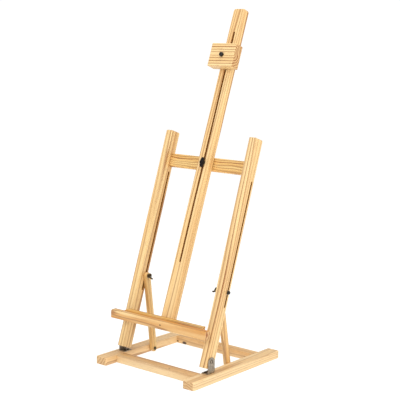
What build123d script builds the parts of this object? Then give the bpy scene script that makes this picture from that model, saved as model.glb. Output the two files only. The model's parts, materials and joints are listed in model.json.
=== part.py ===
from build123d import *
import os
from math import sin, cos, tan, radians, atan

os.makedirs("parts", exist_ok=True)

# Tabletop H frame easel, millimetres, +Z up, front faces -Y, +X to the viewer's right.
# Origin: on the table, midway between the two base rails, below the front of the uprights' feet.

# --- base -----------------------------------------------------------------------------------
RAIL_W = 36.0          # rail width, left to right
RAIL_H = 20.5          # rail height
RAIL_X = 166.0         # outer face of each rail
RAIL_FRONT = -59.0
RAIL_REAR = 307.0
RAIL_CORNER = 5.0      # corners rounded in plan
RAIL_IN = RAIL_X - RAIL_W
BAR_D = 31.0           # depth of the two base crossbars
FRONT_BAR_Y = -17.5    # front face of the front crossbar
REAR_BAR_Y = 229.5     # front face of the rear crossbar

# --- raked frame ----------------------------------------------------------------------------
RAKE = 18.4            # degrees the uprights lean back from vertical
UP_W = 21.0            # upright thickness, left to right
UP_D = 34.0            # upright depth, front to back
UP_X = 150.0           # outer face of each upright
UP_IN = UP_X - UP_W
UP_S0, UP_S1 = 19.5, 615.5      # foot and top, measured up the upright from rail level
SLOT_T = 24.5          # slot centre, measured back from the upright's front face
SLOT_W = 5.6
SLOT_S0, SLOT_S1 = 176.0, 505.0
UPPER_S0, UPPER_S1 = 519.0, 555.0
UPPER_D = 12.4         # depth of the upper crossbar, front to back
LOWER_S0, LOWER_S1 = 92.0, 109.0
LOWER_T = 12.6         # front face of the lower crossbar, behind the mast's foot
LOWER_D = 15.0

# --- mast -----------------------------------------------------------------------------------
MAST_LEAN = 1.15       # the mast leans back a little more than the uprights
MAST_W = 38.2
MAST_T = 18.2
MAST_M0, MAST_M1 = -401.0, 463.5     # foot and top, measured along the mast from its datum
MSLOT_W = 5.6
MSLOT_M0, MSLOT_M1 = -233.0, 399.0
KNOB_S = 535.5         # bolt through the upper crossbar, up the uprights
CLAMP_M = 324.0        # middle of the top clamp
CLAMP_W, CLAMP_H, CLAMP_T = 80.5, 63.5, 29.0

# --- tray -----------------------------------------------------------------------------------
TRAY_Z0, TRAY_Z1 = 115.2, 137.2
LIP_L, LIP_D, LIP_Y = 320.0, 18.0, -9.0
LEDGE_L = 257.0
LEDGE_TOP = 137.6
TRAY_DOWEL_X = (-100.0, -35.0, 35.0, 100.0)
TRAY_SCREW_X = 10.0    # screws from the mast's back into the ledge
TRAY_SCREW_M = MAST_M0 + 14.0

# --- hinges, struts and bolts ---------------------------------------------------------------
PIVOT_S, PIVOT_T = 38.5, 17.0        # hinge screw, in the upright's own frame
STRUT_Y = {"left": 121.0, "right": 132.0}   # strut's lower screw, on the rail's inner face
STRUT_Z = 10.4
STRUT_W, STRUT_T = 18.5, 10.0
STRUT_OUT = UP_IN - 0.5              # strut's outer face
STRUT_IN = STRUT_OUT - STRUT_T
PIN_S = 216.0                        # slot bolt, up the upright
PLATE_T = 2.0
PLATE_W = 26.0
PLATE_X = UP_X + 0.35
PLATE_FOOT_X = 131.5                 # inner end of the bracket's foot
FOOT_SCREW_X, FOOT_SCREW_Y = 138.0, 6.5     # the foot's screws, before and behind the pivot
BOLT_R = 2.4
HOLE_R = 2.45
HINGE_DEPTH = 16.0                   # how far the hinge screw goes into the upright
DOWEL_R, DOWEL_HOLE_R = 4.0, 4.1     # base dowels
PEG_R, PEG_HOLE_R = 3.0, 3.1         # dowels of the H and of the tray
BASE_DOWEL_IN = 8.5                  # base dowels from each edge of their crossbar
PEG_IN = 9.0                         # upper crossbar's dowels from each edge
WING_TURN = {"left": 24.0, "right": 63.0}     # wing nuts' blades, from upright

A = radians(RAKE)
B = radians(RAKE + MAST_LEAN)
UPPER_T = MAST_T + 2.2               # front face of the upper crossbar, behind the mast


def up_point(s, t):
    """A point (y, z) at height s and depth t in the uprights' raked frame."""
    return s * sin(A) + t * cos(A), RAIL_H + s * cos(A) - t * sin(A)


def mast_point(m, t):
    """A point (y, z) at height m and depth t in the mast's own frame."""
    y0, z0 = up_point(500.0, 0.4)
    return y0 + m * sin(B) + t * cos(B), z0 + m * cos(B) - t * sin(B)


FRONT = Plane(origin=(0, 0, RAIL_H), x_dir=(1, 0, 0), z_dir=(0, -cos(A), sin(A)))
MAST = Plane(origin=(0, *mast_point(0, 0)), x_dir=(1, 0, 0), z_dir=(0, -cos(B), sin(B)))


def side_plane(x):
    """Upright's side plane at x; local x runs back through the depth, local y up the upright."""
    return Plane(origin=(x, 0, RAIL_H), x_dir=(0, cos(A), -sin(A)), z_dir=(1, 0, 0))


def cross_plane(x):
    """Vertical plane across the easel at x; local x is the easel's +Y, local y is +Z."""
    return Plane(origin=(x, 0, 0), x_dir=(0, 1, 0), z_dir=(1, 0, 0))


PIV_Y, PIV_Z = up_point(PIVOT_S, PIVOT_T)
PIN_Y, PIN_Z = up_point(PIN_S, SLOT_T)
SIDES = (("left", -1), ("right", 1))
FOOT_SCREWS = [(sd * FOOT_SCREW_X, PIV_Y + dy)
               for _, sd in SIDES for dy in (-FOOT_SCREW_Y, FOOT_SCREW_Y)]
BASE_DOWELS = [(bar_y + dy, RAIL_H / 2) for bar_y in (FRONT_BAR_Y, REAR_BAR_Y)
               for dy in (BASE_DOWEL_IN, BAR_D - BASE_DOWEL_IN)]
UPPER_PEGS = [(UPPER_T + UPPER_D / 2, UPPER_S0 + PEG_IN), (UPPER_T + UPPER_D / 2, UPPER_S1 - PEG_IN)]
LOWER_PEG = (LOWER_T + LOWER_D / 2, (LOWER_S0 + LOWER_S1) / 2)
TRAY_PEGS = [(x, (TRAY_Z0 + LEDGE_TOP) / 2) for x in TRAY_DOWEL_X]
TRAY_SCREWS = [(-TRAY_SCREW_X, TRAY_SCREW_M), (TRAY_SCREW_X, TRAY_SCREW_M)]


def save(part, label):
    part.label = label
    export_step(part, f"parts/{label}.step")


# --- base rails: flat battens with corners rounded in plan ----------------------------------
for name, sd in SIDES:
    with BuildPart() as rail:
        with BuildSketch(Plane.XY):
            with Locations((sd * (RAIL_X - RAIL_W / 2), (RAIL_FRONT + RAIL_REAR) / 2)):
                RectangleRounded(RAIL_W, RAIL_REAR - RAIL_FRONT, RAIL_CORNER)
        extrude(amount=RAIL_H)
        fillet(rail.faces().sort_by(Axis.Z)[-1].edges(), 1.6)
        chamfer(rail.faces().sort_by(Axis.Z)[0].edges(), 0.8)
        # pilot hole for the strut screw, from the inner face
        with BuildSketch(cross_plane(sd * RAIL_IN)):
            with Locations((STRUT_Y[name], STRUT_Z)):
                Circle(2.1)
        extrude(amount=sd * 22.0, mode=Mode.SUBTRACT)
        # dowel holes for the two crossbars
        with BuildSketch(cross_plane(sd * RAIL_IN)):
            with Locations(*BASE_DOWELS):
                Circle(DOWEL_HOLE_R)
        extrude(amount=sd * 16.0, mode=Mode.SUBTRACT)
        # pilot holes for the hinge bracket's two screws
        with BuildSketch(Plane.XY.offset(RAIL_H)):
            with Locations(*FOOT_SCREWS):
                Circle(1.65)
        extrude(amount=-13.0, mode=Mode.SUBTRACT)
    save(rail.part, f"rail_{name}")

# --- base crossbars, dowelled between the rails ---------------------------------------------
for name, bar_y in (("front", FRONT_BAR_Y), ("rear", REAR_BAR_Y)):
    with BuildPart() as bar:
        with BuildSketch(Plane.XY):
            with Locations((0, bar_y + BAR_D / 2)):
                Rectangle(2 * RAIL_IN, BAR_D)
        extrude(amount=RAIL_H - 0.3)
        fillet(bar.edges().filter_by(Axis.X).group_by(Axis.Z)[-1], 1.6)
        chamfer(bar.edges().filter_by(Axis.X).group_by(Axis.Z)[0], 0.8)
        for sd in (-1, 1):
            with BuildSketch(cross_plane(sd * RAIL_IN)):
                with Locations(*BASE_DOWELS):
                    Circle(DOWEL_HOLE_R)
            extrude(amount=-sd * 16.0, mode=Mode.SUBTRACT)
    save(bar.part, f"{name}_crossbar")

with BuildPart() as dowels:
    for sd in (-1, 1):
        with BuildSketch(cross_plane(sd * (RAIL_IN - 15.0))):
            with Locations(*BASE_DOWELS):
                Circle(DOWEL_R)
        extrude(amount=sd * 30.0)
save(dowels.part, "base_dowels")

# --- hinge brackets: L shaped steel plates, foot turned in under the upright ----------------
for name, sd in SIDES:
    with BuildPart() as bracket:
        with BuildSketch(cross_plane(sd * PLATE_X)):
            with Locations((PIV_Y, (RAIL_H + PIV_Z - 1.5) / 2)):
                Rectangle(PLATE_W, PIV_Z - 1.5 - RAIL_H)
            with Locations((PIV_Y, PIV_Z - 1.5)):
                Ellipse(PLATE_W / 2, 12.6)
        extrude(amount=sd * PLATE_T)
        with BuildSketch(Plane.XY.offset(RAIL_H)):
            with Locations((sd * (PLATE_FOOT_X + PLATE_X + PLATE_T) / 2, PIV_Y)):
                Rectangle(PLATE_X + PLATE_T - PLATE_FOOT_X, PLATE_W)
        extrude(amount=PLATE_T)
        low = bracket.edges().filter_by(Axis.Y).filter_by_position(Axis.Z, RAIL_H - 0.1, RAIL_H + 0.1)
        fillet(low.sort_by(Axis.X)[0 if sd < 0 else -1], 1.8)
        with BuildSketch(cross_plane(sd * (PLATE_X - 1.0))):
            with Locations((PIV_Y, PIV_Z)):
                Circle(BOLT_R + 0.05)
        extrude(amount=sd * 6.0, mode=Mode.SUBTRACT)
        with BuildSketch(Plane.XY.offset(RAIL_H - 1.0)):
            with Locations(*FOOT_SCREWS):
                Circle(1.75)
        extrude(amount=6.0, mode=Mode.SUBTRACT)
    save(bracket.part, f"bracket_{name}")

# pan head wood screws through the bracket feet
HEAD_R, HEAD_H = 3.6, 2.2
with BuildPart() as screws:
    with BuildSketch(Plane.XY.offset(RAIL_H + PLATE_T)):
        with Locations(*FOOT_SCREWS):
            Circle(HEAD_R)
    extrude(amount=HEAD_H)
    with BuildSketch(Plane.XY.offset(RAIL_H + PLATE_T)):
        with Locations(*FOOT_SCREWS):
            Circle(1.6)
    extrude(amount=-14.0)
    fillet(screws.faces().group_by(Axis.Z)[-1].edges(), 1.2)
    with BuildSketch(Plane.XY.offset(RAIL_H + PLATE_T + HEAD_H)):
        with Locations(*FOOT_SCREWS):
            Rectangle(3.4, 0.8, rotation=35)
            Rectangle(0.8, 3.4, rotation=35)
    extrude(amount=-1.1, mode=Mode.SUBTRACT)
save(screws.part, "bracket_screws")

# --- hinge screws: slotted head outside the bracket, shank into the upright -----------------
HINGE_HEAD_X = PLATE_X + PLATE_T + 0.1
for name, sd in SIDES:
    with BuildPart() as hinge:
        with BuildSketch(cross_plane(sd * HINGE_HEAD_X)):
            with Locations((PIV_Y, PIV_Z)):
                Circle(4.4)
        extrude(amount=sd * 2.6)
        fillet(hinge.faces().sort_by(Axis.X)[0 if sd < 0 else -1].edges(), 1.5)
        with BuildSketch(cross_plane(sd * HINGE_HEAD_X)):
            with Locations((PIV_Y, PIV_Z)):
                Circle(BOLT_R)
        extrude(amount=-sd * (HINGE_HEAD_X - UP_X + HINGE_DEPTH))
        with BuildSketch(cross_plane(sd * (HINGE_HEAD_X + 2.6))):
            with Locations((PIV_Y, PIV_Z)):
                Rectangle(1.5, 6.6)
        extrude(amount=-sd * 1.5, mode=Mode.SUBTRACT)
    save(hinge.part, f"hinge_screw_{name}")

# --- uprights -------------------------------------------------------------------------------
for name, sd in SIDES:
    with BuildPart() as upright:
        with BuildSketch(FRONT):
            with Locations((sd * (UP_X - UP_W / 2), (UP_S0 + UP_S1) / 2)):
                Rectangle(UP_W, UP_S1 - UP_S0)
        extrude(amount=-UP_D)
        along = Vector(0, sin(A), cos(A))
        fillet(upright.edges().filter_by(lambda e: abs((e % 0.5).dot(along)) > 0.9), 2.4)
        fillet(upright.faces().sort_by(Axis.Z)[-1].edges(), 3.0)
        # adjusting slot, right through from side to side
        with BuildSketch(side_plane(sd * (UP_IN - 1.0))):
            with Locations((SLOT_T, (SLOT_S0 + SLOT_S1) / 2)):
                SlotOverall(SLOT_S1 - SLOT_S0, SLOT_W, rotation=90)
        extrude(amount=sd * (UP_W + 2.0), mode=Mode.SUBTRACT)
        # blind hole for the hinge screw
        with BuildSketch(side_plane(sd * (UP_X + 1.0))):
            with Locations((PIVOT_T, PIVOT_S)):
                Circle(HOLE_R + 0.03)
        extrude(amount=-sd * (HINGE_DEPTH + 1.8), mode=Mode.SUBTRACT)
        # blind dowel holes for the two crossbars
        with BuildSketch(side_plane(sd * UP_IN)):
            with Locations(*UPPER_PEGS, LOWER_PEG):
                Circle(PEG_HOLE_R)
        extrude(amount=sd * 13.0, mode=Mode.SUBTRACT)
    save(upright.part, f"upright_{name}")

# --- crossbars of the H ---------------------------------------------------------------------
with BuildPart() as upper:
    with BuildSketch(FRONT.offset(-UPPER_T)):
        with Locations((0, (UPPER_S0 + UPPER_S1) / 2)):
            Rectangle(2 * UP_IN, UPPER_S1 - UPPER_S0)
    extrude(amount=-UPPER_D)
    fillet(upper.edges().filter_by(Axis.X), 1.4)
    with BuildSketch(FRONT.offset(-UPPER_T + 1.0)):
        with Locations((0, KNOB_S)):
            Circle(BOLT_R + 0.05)
    extrude(amount=-16.0, mode=Mode.SUBTRACT)
    for sd in (-1, 1):
        with BuildSketch(side_plane(sd * UP_IN)):
            with Locations(*UPPER_PEGS):
                Circle(PEG_HOLE_R)
        extrude(amount=-sd * 13.0, mode=Mode.SUBTRACT)
save(upper.part, "upper_crossbar")

with BuildPart() as lower:
    with BuildSketch(FRONT.offset(-LOWER_T)):
        with Locations((0, (LOWER_S0 + LOWER_S1) / 2)):
            Rectangle(2 * UP_IN, LOWER_S1 - LOWER_S0)
    extrude(amount=-LOWER_D)
    fillet(lower.edges().filter_by(Axis.X), 1.4)
    for sd in (-1, 1):
        with BuildSketch(side_plane(sd * UP_IN)):
            with Locations(LOWER_PEG):
                Circle(PEG_HOLE_R)
        extrude(amount=-sd * 13.0, mode=Mode.SUBTRACT)
save(lower.part, "lower_crossbar")

with BuildPart() as pegs:
    for sd in (-1, 1):
        with BuildSketch(side_plane(sd * (UP_IN - 12.5))):
            with Locations(*UPPER_PEGS, LOWER_PEG):
                Circle(PEG_R)
        extrude(amount=sd * 25.0)
save(pegs.part, "frame_dowels")

# --- mast: flat board with one long slot down the middle ------------------------------------
with BuildPart() as mast:
    with BuildSketch(MAST):
        with Locations((0, (MAST_M0 + MAST_M1) / 2)):
            Rectangle(MAST_W, MAST_M1 - MAST_M0)
    extrude(amount=-MAST_T)
    lean = Vector(0, sin(B), cos(B))
    across = Vector(0, cos(B), -sin(B))
    corners = mast.edges().filter_by(lambda e: abs((e % 0.5).dot(across)) > 0.99)
    fillet(corners.group_by(Axis.Z)[-1], 7.0)
    fillet(mast.edges().filter_by(lambda e: abs((e % 0.5).dot(lean)) > 0.99), 1.5)
    with BuildSketch(MAST.offset(1.0)):
        with Locations((0, (MSLOT_M0 + MSLOT_M1) / 2)):
            SlotOverall(MSLOT_M1 - MSLOT_M0, MSLOT_W, rotation=90)
    extrude(amount=-MAST_T - 2.0, mode=Mode.SUBTRACT)
    # screw holes to the tray's ledge, countersunk behind
    with BuildSketch(MAST.offset(1.0)):
        with Locations(*TRAY_SCREWS):
            Circle(1.8)
    extrude(amount=-MAST_T - 2.0, mode=Mode.SUBTRACT)
    with BuildSketch(MAST.offset(-MAST_T)):
        with Locations(*TRAY_SCREWS):
            Circle(3.8)
    extrude(amount=2.6, mode=Mode.SUBTRACT)
save(mast.part, "mast")

# --- tray: ledge against the mast, and a longer lip along its front -------------------------
LEDGE_Y = LIP_Y + LIP_D


def mast_front_y(z):
    """Where the mast's front face is at height z."""
    y0, z0 = mast_point(0, 0)
    return y0 + (z - z0) * tan(B)


with BuildPart() as ledge:
    with BuildSketch(cross_plane(-LEDGE_L / 2)):
        with BuildLine():
            Polyline(
                (LEDGE_Y, TRAY_Z0), (mast_front_y(TRAY_Z0), TRAY_Z0),
                (mast_front_y(LEDGE_TOP), LEDGE_TOP), (LEDGE_Y, LEDGE_TOP), close=True)
        make_face()
    extrude(amount=LEDGE_L)
    chamfer(ledge.edges().filter_by(Axis.X).group_by(Axis.Z)[-1], 0.9)
    with BuildSketch(MAST.offset(-1.0)):
        with Locations(*TRAY_SCREWS):
            Circle(1.55)
    extrude(amount=14.0, mode=Mode.SUBTRACT)
    with BuildSketch(Plane.XZ.offset(-LEDGE_Y)):
        with Locations(*TRAY_PEGS):
            Circle(PEG_HOLE_R)
    extrude(amount=-9.0, mode=Mode.SUBTRACT)
save(ledge.part, "tray_ledge")

with BuildPart() as lip:
    with BuildSketch(cross_plane(-LIP_L / 2)):
        with Locations((LIP_Y + LIP_D / 2, (TRAY_Z0 + TRAY_Z1) / 2)):
            Rectangle(LIP_D, TRAY_Z1 - TRAY_Z0)
    extrude(amount=LIP_L)
    front_top = lip.edges().filter_by(Axis.X).group_by(Axis.Z)[-1].sort_by(Axis.Y)[0]
    fillet(front_top, 5.0)
    back_top = lip.edges().filter_by(Axis.X).group_by(Axis.Z)[-1].sort_by(Axis.Y)[-1]
    chamfer(back_top, 1.2)
    fillet(lip.edges().filter_by(Axis.X).group_by(Axis.Z)[0], 1.6)
    with BuildSketch(Plane.XZ.offset(-LEDGE_Y)):
        with Locations(*TRAY_PEGS):
            Circle(PEG_HOLE_R)
    extrude(amount=9.0, mode=Mode.SUBTRACT)
save(lip.part, "tray_lip")

with BuildPart() as tray_dowels:
    with BuildSketch(Plane.XZ.offset(-LEDGE_Y + 8.5)):
        with Locations(*TRAY_PEGS):
            Circle(PEG_R)
    extrude(amount=-17.0)
save(tray_dowels.part, "tray_dowels")

with BuildPart() as tray_screws:
    with BuildSketch(MAST.offset(-MAST_T + 0.2)):
        with Locations(*TRAY_SCREWS):
            Circle(3.5)
    extrude(amount=2.0)
    with BuildSketch(MAST.offset(-MAST_T + 2.0)):
        with Locations(*TRAY_SCREWS):
            Circle(1.5)
    extrude(amount=MAST_T + 10.0)
    with BuildSketch(MAST.offset(-MAST_T + 0.2)):
        with Locations(*TRAY_SCREWS):
            Rectangle(3.6, 0.8)
            Rectangle(0.8, 3.6)
    extrude(amount=1.1, mode=Mode.SUBTRACT)
save(tray_screws.part, "tray_screws")


def wing_nut(plane, place, turn, thick=7.0):
    """A wing nut on plane at place: a round hub and two blades that spread away from it."""
    with BuildPart() as nut:
        with BuildSketch(plane):
            with Locations(place):
                Circle(4.8)
        extrude(amount=thick)
        centre = plane.origin + plane.x_dir * place[0] + plane.y_dir * place[1]
        for swing in (turn, turn + 180.0):
            out = plane.y_dir * cos(radians(swing)) - plane.x_dir * sin(radians(swing))
            blade = Plane(centre, x_dir=out, z_dir=out.cross(plane.z_dir))
            with BuildSketch(blade.offset(-0.9)) as outline:
                with BuildLine():
                    Polyline((2.8, 1.2), (4.6, 1.0), (8.6, 6.2), (9.6, 9.6), (8.2, 12.2),
                             (5.8, 12.0), (4.4, 9.0), (2.8, 6.8), close=True)
                make_face()
                fillet(outline.vertices(), 0.7)
            extrude(amount=1.8)
        with BuildSketch(plane.offset(-1.0)):
            with Locations(place):
                Circle(BOLT_R + 0.05)
        extrude(amount=thick + 2.0, mode=Mode.SUBTRACT)
    return nut.part


# --- bolt, washer and knob that lock the mast to the upper crossbar -------------------------
BOLT_BACK = UPPER_T + UPPER_D
KNOB_FRONT = 0.7                     # mast's front face here, behind the uprights' front plane
WASHER_T = 1.2
with BuildPart() as mast_bolt:
    with BuildSketch(FRONT.offset(-BOLT_BACK)):
        with Locations((0, KNOB_S)):
            Circle(6.2)
    extrude(amount=-2.6)
    rear_face = mast_bolt.faces().filter_by(lambda f: f.normal_at().Y > 0.9).sort_by(Axis.Y)[-1]
    fillet(rear_face.edges(), 2.0)
    with BuildSketch(FRONT.offset(-BOLT_BACK)):
        with Locations((0, KNOB_S)):
            Circle(BOLT_R)
    extrude(amount=BOLT_BACK + 6.0)
save(mast_bolt.part, "mast_bolt")

with BuildPart() as mast_washer:
    with BuildSketch(FRONT.offset(-KNOB_FRONT)):
        with Locations((0, KNOB_S)):
            Circle(6.0)
            Circle(BOLT_R + 0.05, mode=Mode.SUBTRACT)
    extrude(amount=WASHER_T)
save(mast_washer.part, "mast_washer")

KNOB_BASE = WASHER_T - KNOB_FRONT + 0.1
with BuildPart() as knob:
    with BuildSketch(FRONT.offset(KNOB_BASE)):
        with Locations((0, KNOB_S)):
            Circle(5.6)
    extrude(amount=9.6)
    with BuildSketch(FRONT.offset(KNOB_BASE + 1.6)):
        with Locations((0, KNOB_S)):
            Ellipse(6.2, 13.6)
    extrude(amount=5.6)
    fillet(knob.edges().filter_by(lambda e: e.length > 40), 1.6)
    nose = knob.faces().sort_by(Axis((0, 0, 0), (0, -cos(A), sin(A))))[-1]
    fillet(nose.edges(), 1.6)
    with BuildSketch(FRONT.offset(KNOB_BASE - 1.0)):
        with Locations((0, KNOB_S)):
            Circle(BOLT_R + 0.05)
    extrude(amount=8.0, mode=Mode.SUBTRACT)
save(knob.part, "mast_knob")

# --- top clamp: block, bolt from the front, washer and wing nut behind ----------------------
with BuildPart() as clamp:
    with BuildSketch(MAST.offset(0.4)):
        with Locations((0, CLAMP_M)):
            Rectangle(CLAMP_W, CLAMP_H)
    extrude(amount=CLAMP_T)
    fillet(clamp.edges(), 1.2)
    with BuildSketch(MAST):
        with Locations((0, CLAMP_M)):
            Circle(BOLT_R + 0.05)
    extrude(amount=CLAMP_T + 2.0, mode=Mode.SUBTRACT)
save(clamp.part, "clamp_block")

CLAMP_FRONT = MAST.offset(CLAMP_T + 0.4)
with BuildPart() as clamp_bolt:
    with BuildSketch(CLAMP_FRONT):
        with Locations((0, CLAMP_M)):
            Circle(6.0)
    extrude(amount=7.0)
    fillet(clamp_bolt.faces().sort_by(Axis.Y)[0].edges(), 3.2)
    with BuildSketch(CLAMP_FRONT):
        with Locations((0, CLAMP_M)):
            Circle(BOLT_R)
    extrude(amount=-(CLAMP_T + 0.4 + MAST_T + 12.0))
save(clamp_bolt.part, "clamp_bolt")

with BuildPart() as clamp_washer:
    with BuildSketch(MAST.offset(-MAST_T - 0.4)):
        with Locations((0, CLAMP_M)):
            Circle(6.0)
            Circle(BOLT_R + 0.05, mode=Mode.SUBTRACT)
    extrude(amount=-WASHER_T)
save(clamp_washer.part, "clamp_washer")

BEHIND_MAST = Plane(MAST.offset(-MAST_T - 1.7).origin, x_dir=-MAST.x_dir, z_dir=-MAST.z_dir)
save(wing_nut(BEHIND_MAST, (0, CLAMP_M), 20.0), "clamp_wing_nut")

# --- struts: rounded both ends, screwed to the rails below, bolted through the slots above --
for name, sd in SIDES:
    low = (STRUT_Y[name], STRUT_Z)
    pin = (PIN_Y, PIN_Z)
    length = ((pin[0] - low[0]) ** 2 + (pin[1] - low[1]) ** 2) ** 0.5
    tilt = atan((pin[0] - low[0]) / (pin[1] - low[1]))
    strut_at = Plane(
        origin=(sd * STRUT_OUT, *low), x_dir=(0, cos(tilt), -sin(tilt)), z_dir=(1, 0, 0))
    with BuildPart() as strut:
        with BuildSketch(strut_at):
            with Locations((0, length / 2)):
                SlotCenterToCenter(length, STRUT_W, rotation=90)
        extrude(amount=-sd * STRUT_T)
        flats = strut.faces().sort_by(Axis.X)
        fillet(flats[0].edges() + flats[-1].edges(), 1.2)
        with BuildSketch(strut_at.offset(sd)):
            with Locations((0, 0), (0, length)):
                Circle(HOLE_R)
        extrude(amount=-sd * (STRUT_T + 2.0), mode=Mode.SUBTRACT)
    save(strut.part, f"strut_{name}")

    # lower pivot: pan head screw into the rail
    with BuildPart() as screw:
        with BuildSketch(cross_plane(sd * (STRUT_IN - 0.4))):
            with Locations(low):
                Circle(4.6)
        extrude(amount=-sd * 2.6)
        fillet(screw.faces().sort_by(Axis.X)[-1 if sd < 0 else 0].edges(), 1.5)
        with BuildSketch(cross_plane(sd * (STRUT_IN - 0.4))):
            with Locations(low):
                Circle(BOLT_R)
        extrude(amount=sd * (STRUT_T + 0.4 + 0.8))
        with BuildSketch(cross_plane(sd * (STRUT_OUT + 0.8))):
            with Locations(low):
                Circle(2.0)
        extrude(amount=sd * 20.0)
        with BuildSketch(cross_plane(sd * (STRUT_IN - 3.0))):
            with Locations(low):
                Rectangle(5.0, 0.9)
                Rectangle(0.9, 5.0)
        extrude(amount=sd * 1.2, mode=Mode.SUBTRACT)
    save(screw.part, f"strut_screw_{name}")

    # slot bolt, part one: head outside the upright and the shank in the slot
    with BuildPart() as head:
        with BuildSketch(cross_plane(sd * (UP_X + 0.4 + WASHER_T))):
            with Locations(pin):
                RegularPolygon(4.6, 6)
        extrude(amount=sd * 3.6)
        with BuildSketch(cross_plane(sd * (UP_X + 0.4 + WASHER_T))):
            with Locations(pin):
                Circle(BOLT_R)
        extrude(amount=-sd * (UP_W + 0.5 + WASHER_T))
    save(head.part, f"slot_bolt_{name}")

    with BuildPart() as slot_washer:
        with BuildSketch(cross_plane(sd * (UP_X + 0.3))):
            with Locations(pin):
                Circle(5.6)
                Circle(BOLT_R + 0.05, mode=Mode.SUBTRACT)
        extrude(amount=sd * WASHER_T)
    save(slot_washer.part, f"slot_washer_{name}")

    # slot bolt, part two: the threaded end through the strut
    with BuildPart() as end:
        with BuildSketch(cross_plane(sd * (STRUT_OUT + 0.1))):
            with Locations(pin):
                Circle(BOLT_R)
        extrude(amount=-sd * (STRUT_T + 10.5))
    save(end.part, f"slot_bolt_end_{name}")

    with BuildPart() as washer:
        with BuildSketch(cross_plane(sd * (STRUT_IN - 0.1))):
            with Locations(pin):
                Circle(6.0)
                Circle(BOLT_R + 0.05, mode=Mode.SUBTRACT)
        extrude(amount=-sd * 1.0)
    save(washer.part, f"strut_washer_{name}")

    inner = Plane(origin=(sd * (STRUT_IN - 1.3), 0, 0), x_dir=(0, -sd, 0), z_dir=(-sd, 0, 0))
    save(wing_nut(inner, (-sd * pin[0], pin[1]), WING_TURN[name]), f"wing_nut_{name}")
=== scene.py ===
import json
import math
import random

import bpy
from mathutils import Matrix, Vector


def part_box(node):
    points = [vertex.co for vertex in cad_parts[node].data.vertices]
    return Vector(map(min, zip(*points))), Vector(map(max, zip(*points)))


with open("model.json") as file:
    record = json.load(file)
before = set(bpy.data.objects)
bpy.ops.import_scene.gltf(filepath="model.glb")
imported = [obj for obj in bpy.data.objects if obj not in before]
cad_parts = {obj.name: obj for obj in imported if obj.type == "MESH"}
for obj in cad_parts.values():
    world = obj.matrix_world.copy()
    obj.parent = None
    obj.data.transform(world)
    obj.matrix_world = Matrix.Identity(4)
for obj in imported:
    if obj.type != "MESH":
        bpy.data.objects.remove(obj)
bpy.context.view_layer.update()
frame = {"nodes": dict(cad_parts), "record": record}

NODES = frame["nodes"]
RECORD = frame["record"]
JOINTS = {joint["name"]: joint for joint in RECORD["behaviour"]["joints"]}

# the ways that pieces run; all lengths in this file are in metres unless it says otherwise
X_AXIS = Vector((1, 0, 0))
Y_AXIS = Vector((0, 1, 0))
UPRIGHT_AXIS = Vector(JOINTS["slot_bolt_left_slide"]["axis"]).normalized()
MAST_AXIS = Vector(JOINTS["mast_slide"]["axis"]).normalized()
# from the left strut's foot to its wing nut, used for both struts
STRUT_AXIS = (
    Vector(JOINTS["wing_nut_left_turn"]["pos_m"]) - Vector(JOINTS["strut_left_swing"]["pos_m"])
)
STRUT_AXIS.x = 0
STRUT_AXIS.normalize()


def middle(node):
    low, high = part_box(node)
    return (Vector(low) + Vector(high)) / 2


# --- shader building blocks -------------------------------------------------------------------
class Graph:
    """A material's node tree, with short calls for the nodes used below."""

    def __init__(self, name):
        self.material = bpy.data.materials.new(name)
        self.material.use_nodes = True
        self.tree = self.material.node_tree
        self.shader = self.tree.nodes["Principled BSDF"]

    def plug(self, value, socket):
        """Links a socket to another, or sets its value."""
        if isinstance(value, bpy.types.NodeSocket):
            self.tree.links.new(value, socket)
        else:
            socket.default_value = value

    def node(self, kind, **settings):
        made = self.tree.nodes.new(kind)
        for key, value in settings.items():
            setattr(made, key, value)
        return made

    def math(self, operation, a, b=0.0, clamp=False):
        made = self.node("ShaderNodeMath", operation=operation, use_clamp=clamp)
        self.plug(a, made.inputs[0])
        self.plug(b, made.inputs[1])
        return made.outputs[0]

    def vector(self, operation, a, b=(0, 0, 0)):
        made = self.node("ShaderNodeVectorMath", operation=operation)
        self.plug(a, made.inputs[0])
        self.plug(b, made.inputs[1])
        return made.outputs["Value" if operation in ("LENGTH", "DOT_PRODUCT") else "Vector"]

    def noise(self, where, scale=1.0, detail=2.0, rough=0.5, out="Fac"):
        made = self.node("ShaderNodeTexNoise")
        self.plug(where, made.inputs["Vector"])
        made.inputs["Scale"].default_value = scale
        made.inputs["Detail"].default_value = detail
        made.inputs["Roughness"].default_value = rough
        return made.outputs[out]

    def remap(self, value, start, stop, low=0.0, high=1.0):
        """Low where value is at start, high where it is at stop, held past both."""
        made = self.node("ShaderNodeMapRange", clamp=True)
        self.plug(value, made.inputs["Value"])
        limits = (("From Min", start), ("From Max", stop), ("To Min", low), ("To Max", high))
        for key, number in limits:
            made.inputs[key].default_value = number
        return made.outputs["Result"]

    def mix(self, factor, a, b, blend="MIX"):
        made = self.node("ShaderNodeMix", data_type="RGBA", blend_type=blend)
        self.plug(factor, made.inputs["Factor"])
        self.plug(a, made.inputs["A"])
        self.plug(b, made.inputs["B"])
        return made.outputs["Result"]

    def ramp(self, value, stops):
        made = self.node("ShaderNodeValToRGB")
        ramp = made.color_ramp
        while len(ramp.elements) < len(stops):
            ramp.elements.new(0.5)
        for element, (position, grey) in zip(ramp.elements, stops):
            element.position = position
            element.color = (grey, grey, grey, 1)
        self.plug(value, made.inputs[0])
        return made.outputs["Color"]

    def bump(self, height, strength, distance):
        made = self.node("ShaderNodeBump")
        self.plug(height, made.inputs["Height"])
        made.inputs["Strength"].default_value = strength
        made.inputs["Distance"].default_value = distance
        self.tree.links.new(made.outputs["Normal"], self.shader.inputs["Normal"])


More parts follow.
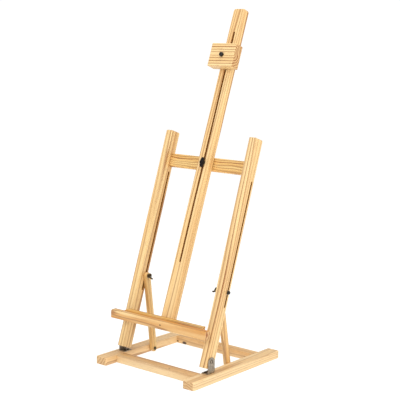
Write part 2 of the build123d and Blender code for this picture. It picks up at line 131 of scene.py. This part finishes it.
# --- pine -------------------------------------------------------------------------------------
EARLY = (0.90, 0.645, 0.325, 1)     # pale spring wood
LATE = (0.30, 0.095, 0.014, 1)      # darker summer wood
BLUSH = (0.80, 0.43, 0.12, 1)       # warm streaks
RESIN = (0.62, 0.25, 0.03, 1)       # orange streaks, rich in resin
END = (0.66, 0.42, 0.19, 1)         # cut end
SLOT_WALL_SHADE = (0.36, 0.14, 0.025, 1)  # painted shade inside the long slots
KNOT = (0.045, 0.02, 0.008, 1)
KNOT_SHAPE = (0.55, 1, 1)           # knots are longer along X, as their pieces are
COAT = 0.12                         # thin clear varnish
COAT_ROUGH = 0.35

# how dark one year's ring is across its width, 0 to 1
LATE_BAND = [(0.0, 0.0), (0.45, 0.05), (0.70, 0.6), (0.84, 1.0), (0.93, 0.95), (1.0, 0.0)]
LEAN = 0.8            # most degrees that a piece's grain is out of line with it
WANDER = 0.022        # how far the rings wander
WANDER_ACROSS = 14    # how often they do in a metre across the grain
UNEVEN_RINGS = 1.8    # most rings that the count of them shifts by

# how often each pattern changes in a metre: across the grain twice, then along it
UNEVEN = (60, 60, 0.6)
FIBRES = (700, 700, 10)
STREAKS = (45, 45, 2.0)
CANALS = (1300, 1300, 50)

SLOT_HALF = 0.0028             # half the width of the long slots
WALL_FADE = (0.0004, 0.0002)   # past a slot's wall, its shade is gone by the first of these


def pine(name, along, heart, seed, ring=0.007, contrast=0.8, blush=0.35, warm=BLUSH,
         tint=(1, 1, 1), wave=1.0, wave_length=0.45, knots=()):
    """Sawn pine: growth rings round a heart line that runs along the piece.

    heart is a point on that line, and ring one year's width. contrast is how dark the summer
    wood is, and blush how strong the streaks of the colour warm are. wave scales how far the
    rings wander, and wave_length is the length along the grain that they do it over. tint
    multiplies the colour, and knots holds (point, radius) pairs of small dark ones."""
    g = Graph(name)
    rng = random.Random(seed)
    coords = g.node("ShaderNodeTexCoord")
    lean = Matrix.Rotation(math.radians(rng.uniform(-LEAN, LEAN)), 3, "X")
    lean = Matrix.Rotation(math.radians(rng.uniform(-LEAN, LEAN)), 3, "Y") @ lean
    turn = lean @ along.to_track_quat("Z", "Y").to_matrix()
    local_coords = g.node("ShaderNodeMapping", vector_type="TEXTURE")
    local_coords.inputs["Location"].default_value = heart
    local_coords.inputs["Rotation"].default_value = turn.to_euler()
    g.plug(coords.outputs["Object"], local_coords.inputs["Vector"])
    local = local_coords.outputs["Vector"]
    start = tuple(rng.uniform(0, 9) for _ in range(3))
    shifted = g.vector("ADD", local, start)

    # slow wander of the rings, stretched along the grain
    slow = g.vector("MULTIPLY", shifted, (WANDER_ACROSS, WANDER_ACROSS, 1 / wave_length))
    wander = g.vector("SUBTRACT", g.noise(slow, 1.0, 1.5, 0.45, "Color"), (0.5, 0.5, 0.5))
    reach = WANDER * wave
    bent = g.vector("ADD", g.vector("MULTIPLY", wander, (reach, reach, 0)), local)
    radius = g.vector("LENGTH", g.vector("MULTIPLY", bent, (1, 1, 0)))

    # the count of rings from the heart, and each ring's own darkness
    uneven = g.noise(g.vector("MULTIPLY", shifted, UNEVEN), 1.0, 1.0)
    shift = g.math("MULTIPLY", uneven, UNEVEN_RINGS)
    count = g.math("ADD", g.math("DIVIDE", radius, ring), shift)
    late = g.ramp(g.math("FRACT", count), LATE_BAND)
    per_ring = g.node("ShaderNodeTexWhiteNoise", noise_dimensions="1D")
    g.plug(g.math("ADD", g.math("FLOOR", count), float(seed)), per_ring.inputs["W"])
    weight = g.remap(per_ring.outputs["Value"], 0.0, 1.0, 0.3, 1.0)
    rings = g.math("MULTIPLY", g.math("MULTIPLY", late, weight), contrast, clamp=True)

    # fine fibres, broad warm streaks and short resin canals
    fibre = g.noise(g.vector("MULTIPLY", shifted, FIBRES), 1.0, 3.0, 0.6)
    broad = g.noise(g.vector("MULTIPLY", shifted, STREAKS), 1.0, 2.0, 0.5)
    colour = g.mix(g.math("MULTIPLY", g.remap(broad, 0.40, 0.64), blush), EARLY, warm)
    colour = g.mix(rings, colour, LATE)
    shade = g.remap(fibre, 0.3, 0.7, 0.92, 1.05)
    tinted = g.node("ShaderNodeCombineColor")
    for key, level in zip(("Red", "Green", "Blue"), tint):
        g.plug(g.math("MULTIPLY", shade, level), tinted.inputs[key])
    colour = g.mix(1.0, colour, tinted.outputs["Color"], "MULTIPLY")
    canal = g.noise(g.vector("MULTIPLY", shifted, CANALS), 1.0, 0.0)
    colour = g.mix(g.remap(canal, 0.70, 0.78, 0.0, 0.4), colour, LATE)

    # cut ends soak up more finish and show the rings across
    facing = g.vector("DOT_PRODUCT", coords.outputs["Normal"], tuple(along))
    cut = g.remap(g.math("ABSOLUTE", facing), 0.75, 0.95)
    end_rings = g.math("MULTIPLY", g.math("MULTIPLY", late, contrast), 0.95, clamp=True)
    end_colour = g.mix(end_rings, END, LATE)
    colour = g.mix(g.math("MULTIPLY", cut, 0.85), colour, end_colour)

    for point, size in knots:
        away = g.vector("SUBTRACT", coords.outputs["Object"], point)
        distance = g.vector("LENGTH", g.vector("MULTIPLY", away, KNOT_SHAPE))
        colour = g.mix(g.remap(distance, size * 1.2, size * 0.75, 0.0, 0.95), colour, KNOT)
    g.plug(colour, g.shader.inputs["Base Color"])

    # the darker the ring, the smoother and the prouder it is
    grainy = g.math("ADD", fibre, g.math("MULTIPLY", rings, -0.2))
    g.plug(g.remap(grainy, 0.2, 0.8, 0.42, 0.6), g.shader.inputs["Roughness"])
    g.shader.inputs["Coat Weight"].default_value = COAT
    g.shader.inputs["Coat Roughness"].default_value = COAT_ROUGH
    height = g.math("ADD", g.math("MULTIPLY", rings, 0.6), g.math("MULTIPLY", fibre, 0.5))
    g.bump(height, 0.25, 0.0004)
    return g


def shade_slot(g, across, centre):
    """Makes the walls of a long slot dull and dark: painted shade, for the shadow inside the
    slot.

    The walls lie either side of the plane through centre that across stands square to."""
    coords = g.node("ShaderNodeTexCoord")
    offset = g.vector("SUBTRACT", coords.outputs["Object"], centre)
    away = g.math("ABSOLUTE", g.vector("DOT_PRODUCT", offset, tuple(across)))
    near = g.remap(away, *(SLOT_HALF + past for past in WALL_FADE))
    facing = g.math("ABSOLUTE", g.vector("DOT_PRODUCT", coords.outputs["Normal"], tuple(across)))
    inside = g.math("MULTIPLY", near, g.remap(facing, 0.3, 0.6))
    socket = g.shader.inputs["Base Color"]
    before = socket.links[0].from_socket
    # painted shade: the slot's walls are darkened, with their sheen and varnish taken off
    g.plug(g.mix(g.math("MULTIPLY", inside, 0.9), before, SLOT_WALL_SHADE), socket)
    g.plug(g.remap(inside, 0.0, 1.0, 0.5, 0.0), g.shader.inputs["Specular IOR Level"])
    g.plug(g.remap(inside, 0.0, 1.0, COAT, 0.0), g.shader.inputs["Coat Weight"])


# --- metals and plastic -----------------------------------------------------------------------
# material slot: colour, roughness, how metallic, how much wear varies the colour
METALS = {
    "bracket_steel": ((0.36, 0.31, 0.25, 1), 0.42, 0.8, 0.2),
    "dark_steel": ((0.12, 0.095, 0.06, 1), 0.28, 1.0, 0.25),
    "bolt_steel": ((0.42, 0.38, 0.33, 1), 0.34, 1.0, 0.12),
    "black_steel": ((0.012, 0.01, 0.008, 1), 0.3, 0.4, 0.12),
}
# painted shade for the slot in the hinge screws' heads
SCREW_SLOT_SHADE = (0.012, 0.009, 0.006, 1)
# from the middle of a screw's slot, the painted shade is gone by the first of these and full by
# the second
SCREW_SHADE_ACROSS = (0.0016, 0.0011)
SCREW_SHADE_ALONG = (0.0042, 0.0034)
PLASTIC_DARK = (0.004, 0.003, 0.003, 1)
PLASTIC_LIGHT = (0.012, 0.01, 0.008, 1)


def metal(name, colour, rough, metallic, wear):
    g = Graph(name)
    coords = g.node("ShaderNodeTexCoord")
    where = coords.outputs["Object"]
    cloud = g.noise(where, 220.0, 4.0, 0.65)
    fine = g.noise(where, 2600.0, 2.0)
    darker = tuple(c * (1 - 2.5 * wear) for c in colour[:3]) + (1,)
    lighter = tuple(min(1, c * (1 + wear)) for c in colour[:3]) + (1,)
    g.plug(g.mix(g.remap(cloud, 0.35, 0.65), darker, lighter), g.shader.inputs["Base Color"])
    speckle = g.math("ADD", cloud, g.math("MULTIPLY", fine, 0.4))
    roughness = g.remap(speckle, 0.4, 1.0, rough - 0.08, rough + 0.1)
    g.plug(roughness, g.shader.inputs["Roughness"])
    g.shader.inputs["Metallic"].default_value = metallic
    g.bump(fine, 0.12, 0.0001)
    return g


def shade_screw_slot(g, node):
    """Painted shade in and along the upright slot of a screw head that faces sideways."""
    coords = g.node("ShaderNodeTexCoord")
    offset = g.node("ShaderNodeSeparateXYZ")
    g.plug(g.vector("SUBTRACT", coords.outputs["Object"], middle(node)), offset.inputs[0])
    across = g.remap(g.math("ABSOLUTE", offset.outputs["Y"]), *SCREW_SHADE_ACROSS)
    along = g.remap(g.math("ABSOLUTE", offset.outputs["Z"]), *SCREW_SHADE_ALONG)
    screw_shade = g.math("MULTIPLY", across, along)
    # painted shade: colour darkened and sheen taken off in and round the screw's slot
    for key, shaded in (("Base Color", SCREW_SLOT_SHADE), ("Metallic", 0.0), ("Specular IOR Level", 0.1)):
        socket = g.shader.inputs[key]
        if socket.links:
            g.plug(g.mix(screw_shade, socket.links[0].from_socket, shaded), socket)
        else:
            g.plug(g.remap(screw_shade, 0.0, 1.0, socket.default_value, shaded), socket)


def black_plastic(name):
    g = Graph(name)
    coords = g.node("ShaderNodeTexCoord")
    cloud = g.noise(coords.outputs["Object"], 300.0, 3.0)
    g.plug(g.mix(cloud, PLASTIC_DARK, PLASTIC_LIGHT), g.shader.inputs["Base Color"])
    g.plug(g.remap(cloud, 0.3, 0.7, 0.10, 0.20), g.shader.inputs["Roughness"])
    g.shader.inputs["Specular IOR Level"].default_value = 0.2
    g.bump(cloud, 0.03, 0.0001)
    return g


# --- which piece gets what --------------------------------------------------------------------
# piece, grain direction, heart line's offset in millimetres, then the look
WOOD = [
    ("rail_left", Y_AXIS, (62, 0, -26),
     dict(ring=0.008, contrast=0.7, tint=(0.96, 0.97, 1.06))),
    ("rail_right", Y_AXIS, (-12, 0, -50),
     dict(ring=0.0062, contrast=0.8, tint=(0.97, 1, 1.1))),
    ("front_crossbar", X_AXIS, (0, 46, -30),
     dict(ring=0.009, blush=0.5, contrast=0.7, tint=(0.92, 0.92, 0.98))),
    ("rear_crossbar", X_AXIS, (0, 40, -30),
     dict(ring=0.008, blush=0.6, contrast=0.7, tint=(0.9, 0.86, 0.86))),
    ("upright_left", UPRIGHT_AXIS, (-46, 34, 0),
     dict(ring=0.0085, blush=0.45, warm=RESIN, contrast=1.25, tint=(0.99, 0.99, 0.92))),
    ("upright_right", UPRIGHT_AXIS, (40, 52, 0),
     dict(ring=0.0085, blush=0.25, warm=RESIN, contrast=1.15, tint=(0.99, 1, 0.97))),
    ("upper_crossbar", X_AXIS, (0, 30, 44),
     dict(ring=0.0062, contrast=1.4, blush=0.6, wave=1.3, wave_length=0.13,
          tint=(0.93, 0.88, 0.66))),
    ("lower_crossbar", X_AXIS, (0, 50, -30),
     dict(ring=0.0070)),
    ("mast", MAST_AXIS, (-52, 56, 0),
     dict(ring=0.0065, contrast=1.0, blush=0.4, wave=0.9, tint=(0.99, 0.98, 0.93))),
    ("tray_ledge", X_AXIS, (0, 20, -60),
     dict(ring=0.0065, contrast=1.5, blush=1.0, warm=RESIN, wave=0.6, tint=(1, 0.97, 0.65))),
    ("tray_lip", X_AXIS, (0, 40, -8),
     dict(ring=0.010, contrast=1.4, blush=1.0, warm=RESIN, wave_length=0.25,
          tint=(1, 1, 0.95))),
    ("clamp_block", X_AXIS, (0, -15, 8),
     dict(ring=0.0066, contrast=1.3, blush=0.4, wave=0.35, tint=(0.98, 0.99, 0.95))),
    ("strut_left", STRUT_AXIS, (30, 22, 0),
     dict(ring=0.008, blush=0.8, tint=(0.9, 0.88, 0.75))),
    ("strut_right", STRUT_AXIS, (-30, 26, 0),
     dict(ring=0.008, blush=0.7, tint=(0.95, 0.93, 0.85))),
    ("base_dowels", X_AXIS, (0, 5, 5), dict(ring=0.003)),
    ("frame_dowels", X_AXIS, (0, 5, 5), dict(ring=0.003)),
    ("tray_dowels", Y_AXIS, (5, 0, 5), dict(ring=0.003)),
]
FIRST_SEED = 11


def heart_of(node, dx, dy, dz):
    """A point on the heart line, that far in millimetres from the piece's middle."""
    return middle(node) + Vector((dx, dy, dz)) / 1000


def front_point(node, x, dz):
    """The point at x on the front of the piece's box, dz above the box's middle."""
    return Vector((x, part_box(node)[0][1], middle(node).z + dz))


KNOTS = {
    "rear_crossbar": [(front_point("rear_crossbar", -0.103, -0.006), 0.0042),
                      (front_point("rear_crossbar", -0.1275, -0.005), 0.002)],
    "front_crossbar": [(Vector((0.045, -0.009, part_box("front_crossbar")[1][2])), 0.0016)],
    "tray_lip": [(front_point("tray_lip", 0.012, 0.001), 0.0016)],
}


def paint(node, material):
    for slot in NODES[node].material_slots:
        slot.material = material


def finish_wood():
    for number, (node, along, offset, look) in enumerate(WOOD):
        heart = heart_of(node, *offset)
        knots = KNOTS.get(node, ())
        g = pine("pine_" + node, along, heart, FIRST_SEED + number, knots=knots, **look)
        if node == "mast":
            shade_slot(g, X_AXIS, middle("mast_bolt"))
        if node.startswith("upright"):
            across = UPRIGHT_AXIS.cross(X_AXIS)
            shade_slot(g, across, middle(node.replace("upright", "slot_bolt")))
        paint(node, g.material)


def finish_metal():
    shared = {slot: metal(slot, *look).material for slot, look in METALS.items()}
    shared["black_plastic"] = black_plastic("black_plastic").material
    for part in RECORD["subparts"]:
        if part["material_slot"] in shared:
            paint(part["node"], shared[part["material_slot"]])
    for node in ("hinge_screw_left", "hinge_screw_right"):
        g = metal(node + "_steel", *METALS["bracket_steel"])
        # paints shade into each hinge screw's slot
        shade_screw_slot(g, node)
        paint(node, g.material)


# --- studio -----------------------------------------------------------------------------------
WHITE = (1, 1, 1)
AMBER = (1.0, 0.84, 0.58)
# name, place, point aimed at, disk's width, watts, colour
LIGHTS = [
    ("key", (-0.6, -2.6, 2.2), (0, 0.1, 0.4), 2.2, 32, WHITE),
    ("top", (0.6, 0.2, 3.0), (0, 0.1, 0.3), 2.4, 34, WHITE),
    ("side", (2.7, 0.1, 1.3), (0, 0.1, 0.4), 2.0, 27, AMBER),
    ("spark", (1.5, -2.1, 1.5), (0, 0.1, 0.5), 0.2, 10, WHITE),
]
AMBIENT = 0.52     # light from all round
BACKDROP = 1.05    # what the camera sees behind everything
FLOOR_GREY = 0.3
FLOOR_GLOW = 0.86
FLOOR_RADIUS = 9.0
FLOOR_GAP = 0.0004   # just under the feet, so that the faces don't meet

CAMERA_PLACE = (1.6780, -1.9288, 0.8439)
CAMERA_TURN = 38.79  # degrees round Z from looking along +Y
CAMERA_DOWN = 8.78   # degrees below level
CAMERA_ROLL = 1.10   # degrees
LENS_MM = 92.57
SENSOR_MM = 36.0


def white_floor():
    """A matt floor that glows, so that it stays white round the feet."""
    g = Graph("floor_white")
    g.shader.inputs["Base Color"].default_value = (FLOOR_GREY, FLOOR_GREY, FLOOR_GREY, 1)
    g.shader.inputs["Roughness"].default_value = 0.95
    g.shader.inputs["Specular IOR Level"].default_value = 0.0
    g.shader.inputs["Emission Color"].default_value = (1, 1, 1, 1)
    g.shader.inputs["Emission Strength"].default_value = FLOOR_GLOW
    return g


def add_floor():
    bpy.ops.mesh.primitive_circle_add(
        vertices=96, radius=FLOOR_RADIUS, fill_type="NGON", location=(0, 0, -FLOOR_GAP)
    )
    floor = bpy.context.object
    floor.name = "floor"
    floor.data.materials.append(white_floor().material)


def add_light(name, place, aim, size, watts, colour):
    light = bpy.data.lights.new(name, "AREA")
    light.shape = "DISK"
    light.size = size
    light.energy = watts
    light.color = colour
    lamp = bpy.data.objects.new(name, light)
    bpy.context.collection.objects.link(lamp)
    lamp.location = place
    lamp.rotation_euler = (Vector(aim) - Vector(place)).to_track_quat("-Z", "Y").to_euler()
    lamp.visible_camera = False


def add_world():
    """White all round, brighter to the camera than to what it lights."""
    world = bpy.data.worlds.new("studio")
    bpy.context.scene.world = world
    world.use_nodes = True
    tree = world.node_tree
    back = tree.nodes["Background"]
    seen = tree.nodes.new("ShaderNodeLightPath")
    strength = tree.nodes.new("ShaderNodeMapRange")
    strength.inputs["To Min"].default_value = AMBIENT
    strength.inputs["To Max"].default_value = BACKDROP
    tree.links.new(seen.outputs["Is Camera Ray"], strength.inputs["Value"])
    tree.links.new(strength.outputs["Result"], back.inputs["Strength"])
    back.inputs["Color"].default_value = (1, 1, 1, 1)


def add_camera():
    camera = bpy.data.cameras.new("camera")
    camera.sensor_width = SENSOR_MM
    camera.lens = LENS_MM
    eye = bpy.data.objects.new("camera", camera)
    bpy.context.collection.objects.link(eye)
    turn = Matrix.Rotation(math.radians(CAMERA_TURN), 4, "Z")
    tip = Matrix.Rotation(math.radians(90 - CAMERA_DOWN), 4, "X")
    roll = Matrix.Rotation(math.radians(CAMERA_ROLL), 4, "Z")
    eye.matrix_world = Matrix.Translation(CAMERA_PLACE) @ turn @ tip @ roll
    bpy.context.scene.camera = eye


finish_wood()
finish_metal()
add_floor()
add_world()
for light in LIGHTS:
    add_light(*light)
add_camera()
bpy.context.scene.view_settings.view_transform = "Standard"
bpy.context.scene.view_settings.look = "None"
